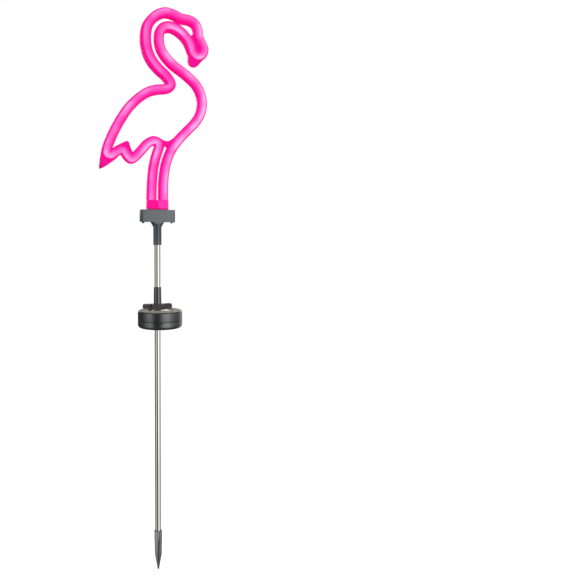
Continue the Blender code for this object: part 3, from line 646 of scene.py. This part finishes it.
def softened(outline, rounds):
    """Cuts the corners of a closed outline again and again until it runs smooth."""
    for _ in range(rounds):
        finer = []
        for a, b in zip(outline, outline[1:] + outline[:1]):
            finer.append((a[0] * 0.75 + b[0] * 0.25, a[1] * 0.75 + b[1] * 0.25))
            finer.append((a[0] * 0.25 + b[0] * 0.75, a[1] * 0.25 + b[1] * 0.75))
        outline = finer
    return outline


def inset(outline, margin):
    """The outline moved inwards by a margin, whichever way round it runs."""
    area = sum(a[0] * b[1] - b[0] * a[1] for a, b in zip(outline, outline[1:] + outline[:1]))
    inward = math.copysign(margin, area)
    moved = []
    for i, (x, z) in enumerate(outline):
        before, after = Vector(outline[i - 1]), Vector(outline[(i + 1) % len(outline)])
        heading = (after - before).normalized()
        moved.append((x - heading.y * inward, z + heading.x * inward))
    return moved


def web(outline, soften=3):
    """A plate of the backing with smooth corners and eased front and back edges."""
    low, high = SHELL_FRONT + WEB_SETBACK, SHELL_BACK - WEB_SETBACK
    outer = [(x * FIGURE_HEIGHT, z * FIGURE_HEIGHT + BRACKET_TOP) for x, z in softened(outline, soften)]
    inner = inset(outer, WEB_EDGE * 0.6)
    rings = [(inner, low), (outer, low + WEB_EDGE), (outer, high - WEB_EDGE), (inner, high)]
    return lofted([[(x, depth, z) for x, z in ring] for ring, depth in rings])


def foot_lobe(side):
    """One of the two rounded lobes of the foot."""
    inner = FOOT_CENTRE - side * LOBE_OVERLAP
    outer = FOOT_CENTRE + side * FOOT_HALF
    bm = block((min(inner, outer), -FOOT_DEPTH_HALF, FOOT_BOTTOM),
               (max(inner, outer), FOOT_DEPTH_HALF, FOOT_TOP))
    round_edges(bm, upright, FOOT_CORNER, 10)
    round_edges(bm, on_level(FOOT_TOP), 0.0008, 4)
    return bm


def neon_backing(surface):
    """Channel-shaped backing with its webs, two-lobed foot and tongue."""
    lip_in, lip_front = DOME_HALF + 0.00012, DOME_BASE - 0.0007
    rounding = (SHELL_HALF - SHELL_BACK_ROUND, SHELL_BACK - SHELL_BACK_ROUND)
    half = [(lip_in, SHELL_FRONT), (lip_in, lip_front + 0.0001), (lip_in + 0.0002, lip_front),
            (SHELL_HALF - 0.00025, lip_front), (SHELL_HALF, lip_front + 0.0003)]
    half += arc(rounding, SHELL_BACK_ROUND, 0, 90, 4)
    section = half + [(-sideways, depth) for sideways, depth in reversed(half)]
    beak_tip = arc(BEAK_TIP_CENTRE, BEAK_TIP_RADIUS, *BEAK_TIP_ARC, 28)
    plates = [web(outline) for outline in (TAIL_FIN, FEATHER_WEB, LEG_WEB, HEAD_WEB)]
    plates.append(web(beak_tip + BEAK_TIP_ROOT, 0))
    tongue = block((FOOT_CENTRE - TONGUE_HALF, -TONGUE_DEPTH_HALF, BRACKET_TOP - TONGUE_LENGTH),
                   (FOOT_CENTRE + TONGUE_HALF, TONGUE_DEPTH_HALF, FOOT_BOTTOM + OVERSHOOT))
    joined = plates + [foot_lobe(-1), foot_lobe(1), tongue]
    pinhole = rod(PINHOLE_RADIUS, -SHELL_BACK - OVERSHOOT, SHELL_BACK + OVERSHOOT)
    place = Vector((PINHOLE_PLACE[0] * FIGURE_HEIGHT, 0.0, PINHOLE_PLACE[1] * FIGURE_HEIGHT + BRACKET_TOP))
    pinhole.transform(Matrix.Translation(place) @ Matrix.Rotation(math.radians(90), 4, 'X'))
    steps = [('UNION', shape) for shape in joined] + [('DIFFERENCE', pinhole)]
    bm = carved(swept(section, FOOT_BOTTOM + 0.002, ledge), steps)
    piece("neon_backing", bm, surface, "neon_shell", math.radians(40))


def neon_tube(surface):
    """Domed milky front of the tube."""
    steps = 16
    rim = DOME_BASE - 0.0006
    rise = rim - DOME_FRONT
    section = [(DOME_HALF, DOME_BASE)]
    for i in range(steps + 1):
        angle = math.pi * i / steps
        section.append((DOME_HALF * math.cos(angle), rim - rise * math.sin(angle)))
    section.append((-DOME_HALF, DOME_BASE))
    bm = swept(section, FOOT_TOP + GAP)
    piece("neon_tube", bm, surface, "neon_diffuser", math.radians(50))


# The stake

def ground_spike(surface):
    """Grooved spike with a round socket above and a blunt tip.

    Each level has its depth below the shoulder, its radius and how deep its grooves are.
    """
    levels = [(0.0, 0.0050, 0.0003), (0.0004, 0.0054, 0.0005), (0.0150, 0.0054, 0.0006),
              (0.0180, 0.0053, 0.0012), (0.0207, 0.0052, 0.0016), (0.0280, 0.0052, 0.0017),
              (0.0345, 0.00505, 0.0017), (0.0390, 0.0043, 0.0014), (0.0440, 0.00335, 0.0011),
              (0.0500, 0.00230, 0.0006), (0.0545, 0.00150, 0.0003), (0.0563, 0.00115, 0.0001),
              (-SPIKE_TIP, 0.00070, 0.0)]
    sharpness = 4
    sides = 120
    rings = []
    for depth, radius, groove in levels:
        ring = []
        for i in range(sides):
            angle = math.tau * i / sides
            reach = radius - groove * (0.5 + 0.5 * math.cos(SPIKE_GROOVES * angle)) ** sharpness
            ring.append((reach * math.cos(angle), reach * math.sin(angle), -depth))
        rings.append(ring)
    bm = carved(lofted(rings), [('DIFFERENCE', rod(BORE_RADIUS, -SPIKE_BORE_DEPTH, OVERSHOOT))])
    piece("spike", bm, surface, "ground_spike")


def drum_cup(surface):
    """Lower half of the drum, with a stepped rim at the seam and the pry notch."""
    rim, inner, floor = SEAM - GAP, DRUM_RADIUS - DRUM_WALL, DRUM_BOTTOM + DRUM_WALL
    corner = (DRUM_RADIUS - DRUM_CORNER, DRUM_BOTTOM + DRUM_CORNER)
    profile = [(0, DRUM_BOTTOM)] + arc(corner, DRUM_CORNER, -90, 0, 14)
    profile.append((DRUM_RADIUS, rim - SEAM_ROUND))
    profile += arc((DRUM_RADIUS - SEAM_ROUND, rim - SEAM_ROUND), SEAM_ROUND, 20, 90, 3)
    profile += [(inner, rim), (inner, corner[1]), (inner - DRUM_WALL, floor), (0, floor)]
    notch = block((-0.0040, -DRUM_RADIUS - OVERSHOOT, rim - 0.0018),
                  (0.0040, -DRUM_RADIUS + 0.0008, rim + OVERSHOOT))
    notch.transform(Matrix.Translation(DRUM_CENTRE) @ Matrix.Rotation(math.radians(-13), 4, 'Z'))
    bore = rod(BORE_RADIUS, DRUM_BOTTOM - OVERSHOOT, floor + OVERSHOOT)
    bm = carved(turned(profile, DRUM_CENTRE, 128), [('DIFFERENCE', bore), ('DIFFERENCE', notch)])
    piece("drum_cup", bm, surface, "drum_base")


def drum_cap(surface):
    """Upper half of the drum: crowned top with the panel's seat and the collar's pad, and the post below."""
    crown_steps = 8
    inner, rim = DRUM_RADIUS - DRUM_WALL, DRUM_RADIUS - DRUM_TOP_ROUND
    profile = [(rim * i / crown_steps, CROWN_TOP - (CROWN_TOP - DRUM_TOP) * (i / crown_steps) ** 2)
               for i in range(crown_steps)]
    profile += arc((rim, DRUM_TOP - DRUM_TOP_ROUND), DRUM_TOP_ROUND, 90, 0, 10)
    profile += arc((DRUM_RADIUS - SEAM_ROUND, SEAM + SEAM_ROUND), SEAM_ROUND, 0, -90, 3)
    profile += [(inner, SEAM), (inner, LID_CEILING), (0, LID_CEILING)]
    post_bottom = DRUM_BOTTOM + DRUM_WALL + GAP
    steps = []
    for half, front in ((WINGS_HALF, WINGS_FRONT), (BOSS_HALF, BOSS_FRONT)):
        pad = block((PAD_STEP - half, PAD_STEP - front, DRUM_TOP - PAD_SINK),
                    (half - PAD_STEP, WINGS_BACK - PAD_STEP, CROWN_TOP))
        round_edges(pad, upright, BOSS_CORNER, 3)
        steps.append(('UNION', pad))
    seat = block((-PANEL_HALF - GAP, PANEL_FRONT - GAP, PANEL_BOTTOM - GAP),
                 (PANEL_HALF + GAP, PANEL_FRONT + PANEL_LENGTH + GAP, CROWN_TOP + OVERSHOOT))
    steps += [('UNION', rod(BORE_RADIUS + POST_WALL, post_bottom, LID_CEILING + OVERSHOOT)),
              ('DIFFERENCE', rod(BORE_RADIUS, post_bottom - OVERSHOOT, LID_CEILING)), ('DIFFERENCE', seat)]
    bm = carved(turned(profile, DRUM_CENTRE, 128), steps)
    piece("drum_cap", bm, surface, "drum_lid")


def panel(surface):
    """Solar panel under a clear cover that is slightly crowned and rounded at its corners."""
    crown_steps = 12
    half = (PANEL_HALF, PANEL_LENGTH / 2)
    outline = []
    for turn, (sx, sy) in enumerate(((1, 1), (-1, 1), (-1, -1), (1, -1))):
        centre = (sx * (half[0] - PANEL_CORNER), sy * (half[1] - PANEL_CORNER))
        outline += arc(centre, PANEL_CORNER, 90 * turn, 90 * turn + 90, 5)
    edge = PANEL_TOP - 0.0001
    levels = [(1.0, PANEL_BOTTOM), (1.0, edge - 0.0002)]
    shares = [1 - i / crown_steps for i in range(crown_steps)]
    levels += [(share, edge + PANEL_CROWN * (1 - share ** 2)) for share in shares]
    bm = lofted([[(x * share, PANEL_MIDDLE + y * share, height) for x, y in outline]
                 for share, height in levels])
    piece("panel", bm, surface, "solar_panel")


def collar(surface):
    """Round socket on a flat-fronted boss, between two drafted and notched wings."""
    top, base = BORE_RADIUS + 0.00055, BORE_RADIUS + 0.00085
    profile = [(0, WINGS_BOTTOM + OVERSHOOT), (base, WINGS_BOTTOM + OVERSHOOT)]
    profile += arc((base + 0.0003, WINGS_TOP + 0.0003), 0.0003, 270, 180, 3)[1:]
    profile += arc((top - 0.0004, COLLAR_TOP - 0.0004), 0.0004, 0, 90, 4) + [(0, COLLAR_TOP)]
    wings = block((-WINGS_HALF, -WINGS_FRONT, WINGS_BOTTOM), (WINGS_HALF, WINGS_BACK, WINGS_TOP))
    for vert in wings.verts:
        if vert.co.z > WINGS_BOTTOM + 0.003:
            vert.co.x -= math.copysign(WINGS_DRAFT, vert.co.x)
    ends = [e for e in wings.edges
            if on_level(WINGS_TOP)(e) and abs(e.verts[0].co.x - e.verts[1].co.x) < 1e-6]
    round_edges(wings, lambda edge: edge in ends, WINGS_ROUND, 8)
    boss = block((-BOSS_HALF, -BOSS_FRONT, WINGS_BOTTOM), (BOSS_HALF, BOSS_BACK, WINGS_TOP))
    round_edges(boss, upright, BOSS_CORNER, 5)
    round_edges(boss, on_level(WINGS_TOP), 0.0003, 3)
    steps = [('UNION', wings)]
    for side in (-1, 1):
        middle = side * (BOSS_HALF + NOTCH_HALF - GAP)
        ring = [(middle, WINGS_TOP - NOTCH_DEPTH), (middle + 0.0011, WINGS_TOP + OVERSHOOT),
                (middle - 0.0011, WINGS_TOP + OVERSHOOT)]
        depths = (-WINGS_FRONT - OVERSHOOT, WINGS_BACK + OVERSHOOT)
        notch = lofted([[(x, y, z) for x, z in ring] for y in depths])
        steps.append(('DIFFERENCE', notch))
    bore = rod(BORE_RADIUS, WINGS_BOTTOM + 0.0020, COLLAR_TOP + OVERSHOOT)
    steps += [('UNION', boss), ('DIFFERENCE', bore)]
    bm = carved(turned(profile, segments=96), steps)
    piece("collar", bm, surface, "pole_collar")


def bracket_block(surface):
    """Block with rounded corners and a flared socket, slotted for the figure's tongue."""
    socket, flare = BORE_RADIUS + 0.0011, BORE_RADIUS + 0.0049
    bm = block((FOOT_CENTRE - BRACKET_HALF, -BRACKET_DEPTH_HALF, BRACKET_BOTTOM),
               (FOOT_CENTRE + BRACKET_HALF, BRACKET_DEPTH_HALF, BRACKET_TOP))
    round_edges(bm, upright, BRACKET_CORNER, 10)
    for level in (BRACKET_BOTTOM, BRACKET_TOP):
        round_edges(bm, on_level(level), 0.0004, 4)
    cone_top = BRACKET_BOTTOM + OVERSHOOT
    profile = [(0, SOCKET_BOTTOM)] + arc((socket - 0.0003, SOCKET_BOTTOM + 0.0003), 0.0003, -90, 0, 3)
    profile += [(socket, FLARE_BOTTOM), (flare + 0.00058, cone_top), (0, cone_top)]
    cone = turned(profile, segments=96)
    for side in (-1, 1):
        whole = list(cone.verts) + list(cone.edges) + list(cone.faces)
        bmesh.ops.bisect_plane(cone, geom=whole, plane_co=(0, side * BRACKET_DEPTH_HALF, 0),
                               plane_no=(0, side, 0), clear_outer=True, dist=1e-7)
        bmesh.ops.holes_fill(cone, edges=[e for e in cone.edges if e.is_boundary])
    slot_half, slot_depth_half = TONGUE_HALF + GAP, TONGUE_DEPTH_HALF + GAP
    slot = block((FOOT_CENTRE - slot_half, -slot_depth_half, BRACKET_TOP - TONGUE_LENGTH - GAP),
                 (FOOT_CENTRE + slot_half, slot_depth_half, BRACKET_TOP + OVERSHOOT))
    bore = rod(BORE_RADIUS, SOCKET_BOTTOM - OVERSHOOT, BRACKET_TOP - 0.0105)
    steps = [('UNION', cone), ('DIFFERENCE', bore), ('DIFFERENCE', slot)]
    for side in (-1, 1):
        centre = Vector((FOOT_CENTRE + side * SCREW_OFFSET, 0, 0))
        hole = rod(SCREW_BORE, BRACKET_BOTTOM - OVERSHOOT, BRACKET_BOTTOM + SCREW_DEPTH, centre)
        steps.append(('DIFFERENCE', hole))
    piece("bracket_block", carved(bm, steps), surface, "bracket")


# Stage, light and camera

def studio_light():
    """Soft studio surround: plain white to the eye, even on matt faces, with soft bands for gloss."""
    world = bpy.data.worlds.new("studio")
    bpy.context.scene.world = world
    world.cycles.sampling_method = 'NONE'
    maker = NodeMaker(world)
    direction = maker.node("ShaderNodeTexCoord", output="Generated")
    x, y, z = [maker.node("ShaderNodeSeparateXYZ", None, {0: direction}, output=i) for i in range(3)]
    towards = Vector(CAMERA_PLACE[:2]).normalized()
    front = x * towards.x + y * towards.y
    right = x * -towards.y + y * towards.x
    turn = maker.node("ShaderNodeMath", {"operation": 'ARCTAN2'}, {0: right, 1: front})
    stops = [((degrees + 180) / 360, level / BAND_SCALE) for degrees, level in SOFTBOX_BANDS]
    bands = maker.ramp(turn / math.tau + 0.5, stops) * BAND_SCALE
    bands = bands * (1 - maker.band(z, -0.18, -0.42) * 0.25) * (1 - maker.band(z, -0.46, -0.62) * 0.92)
    ceiling = maker.band(z, 0.35, 0.70)
    backdrop = maker.band(z, 0.02, 0.06) * (1 - ceiling) * maker.band(front, -0.70, -0.90)
    around = bands * (1 - backdrop) + backdrop * BACKDROP_LEVEL
    gloss_sees = around * (1 - ceiling) + ceiling * CEILING_LEVEL
    looked_at = maker.node("ShaderNodeLightPath", output="Is Camera Ray")
    mirrored = maker.node("ShaderNodeLightPath", output="Is Glossy Ray")
    above = maker.band(z, -0.35, 0.02)
    even = BELOW_LEVEL + above * (SURROUND_LEVEL - BELOW_LEVEL + z * SURROUND_LEAN + right * SURROUND_LEAN)
    strength = mirrored * gloss_sees + (1 - mirrored) * (looked_at + (1 - looked_at) * even)
    background = maker.tree.nodes["Background"]
    background.inputs["Color"].default_value = (1.0, 1.0, 1.0, 1.0)
    maker.feed(background.inputs["Strength"], strength)


def low_lamp():
    """Soft lamp low on the left that models the spike's grooves."""
    lamp = bpy.data.lights.new("low_lamp", 'AREA')
    lamp.size = LOW_LAMP_SIZE
    lamp.energy = LOW_LAMP_POWER
    made = bpy.data.objects.new("low_lamp", lamp)
    aim = Vector((0.0, 0.0, SPIKE_TIP / 2)) - LOW_LAMP_PLACE
    made.matrix_world = Matrix.Translation(LOW_LAMP_PLACE) @ aim.to_track_quat('-Z', 'Y').to_matrix().to_4x4()
    made.visible_camera = False
    made.visible_glossy = False
    bpy.context.scene.collection.objects.link(made)


def pale_floor():
    """Plain floor just under the spike's tip."""
    bm = bmesh.new()
    bmesh.ops.create_grid(bm, x_segments=8, y_segments=8, size=6.0)
    floor = mesh_object("floor", bm)
    floor.location.z = SPIKE_TIP - 0.0004
    finish = Finish("pale_floor", Roughness=0.9, Specular_IOR_Level=0.0, Emission_Color=(1.0, 1.0, 1.0),
                    Emission_Strength=0.05)
    mottle = finish.noise(3, detail=2.0)
    finish.set(Base_Color=finish.blend(mottle, (0.94, 0.94, 0.94), (0.97, 0.97, 0.97)))
    floor.data.materials.append(finish.material)
    floor.visible_glossy = False
    floor.visible_diffuse = False


def photo_camera():
    """Camera at the photograph's viewing angle, from its yaw, pitch and roll."""
    yaw, pitch, roll = CAMERA_YAW, CAMERA_PITCH, CAMERA_ROLL
    forward = Vector((math.sin(yaw) * math.cos(pitch), math.cos(yaw) * math.cos(pitch), math.sin(pitch)))
    level_right = Vector((math.cos(yaw), -math.sin(yaw), 0.0))
    level_up = level_right.cross(forward)
    right = level_right * math.cos(roll) + level_up * math.sin(roll)
    up = level_up * math.cos(roll) - level_right * math.sin(roll)
    camera = bpy.data.objects.new("camera", bpy.data.cameras.new("camera"))
    camera.data.lens = CAMERA_LENS
    camera.data.sensor_width = SENSOR_WIDTH
    turned_to = Matrix((right, up, -forward)).transposed().to_4x4()
    camera.matrix_world = Matrix.Translation(CAMERA_PLACE) @ turned_to
    bpy.context.scene.collection.objects.link(camera)
    bpy.context.scene.camera = camera


def dress_carried_over(nodes, surface):
    """Gives the frame's own nodes, whose shapes are right, a finish."""
    for name in nodes:
        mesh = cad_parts[name].data
        mesh.materials.clear()
        mesh.materials.append(surface)
        mesh.shade_smooth()
        mesh.set_sharp_from_angle(angle=math.radians(30))


photo_camera()
studio_light()
low_lamp()
pale_floor()
bpy.context.scene.view_settings.view_transform = 'Standard'

charcoal = (0.015, 0.016, 0.017)
# The lid's top is painted lighter and warmer as painted light from above, and is also made rougher.
lid_top_painted_light = (DRUM_TOP - 0.0007, DRUM_TOP - 0.0001, (0.235, 0.213, 0.148), 0.72)
collar_base = (WINGS_TOP + 0.0003, WINGS_TOP - 0.0003, (0.012, 0.012, 0.010), 0.62)
dress_carried_over(["lower_pole", "upper_pole"], drawn_steel())
dress_carried_over(["bracket_screw_left", "bracket_screw_right"], blackened_steel())
ground_spike(plastic_finish("spike_plastic", (0.074, 0.076, 0.080), 0.30, shade_painted_grooves=SPIKE_GROOVES))
drum_cup(plastic_finish("drum_cup_plastic", charcoal, 0.30, gloss_ior=1.92))
drum_cap(plastic_finish("drum_cap_plastic", charcoal, 0.30, gloss_ior=1.92, matt=lid_top_painted_light))
panel(solar_cell())
collar(plastic_finish("collar_plastic", (0.012, 0.012, 0.013), 0.24, gloss_ior=1.92, matt=collar_base))
bracket_block(plastic_finish("bracket_plastic", (0.030, 0.048, 0.056), 0.30, tone_range=0.08, gloss_ior=1.80))
neon_backing(backing_pink())
neon_tube(diffuser_pink())
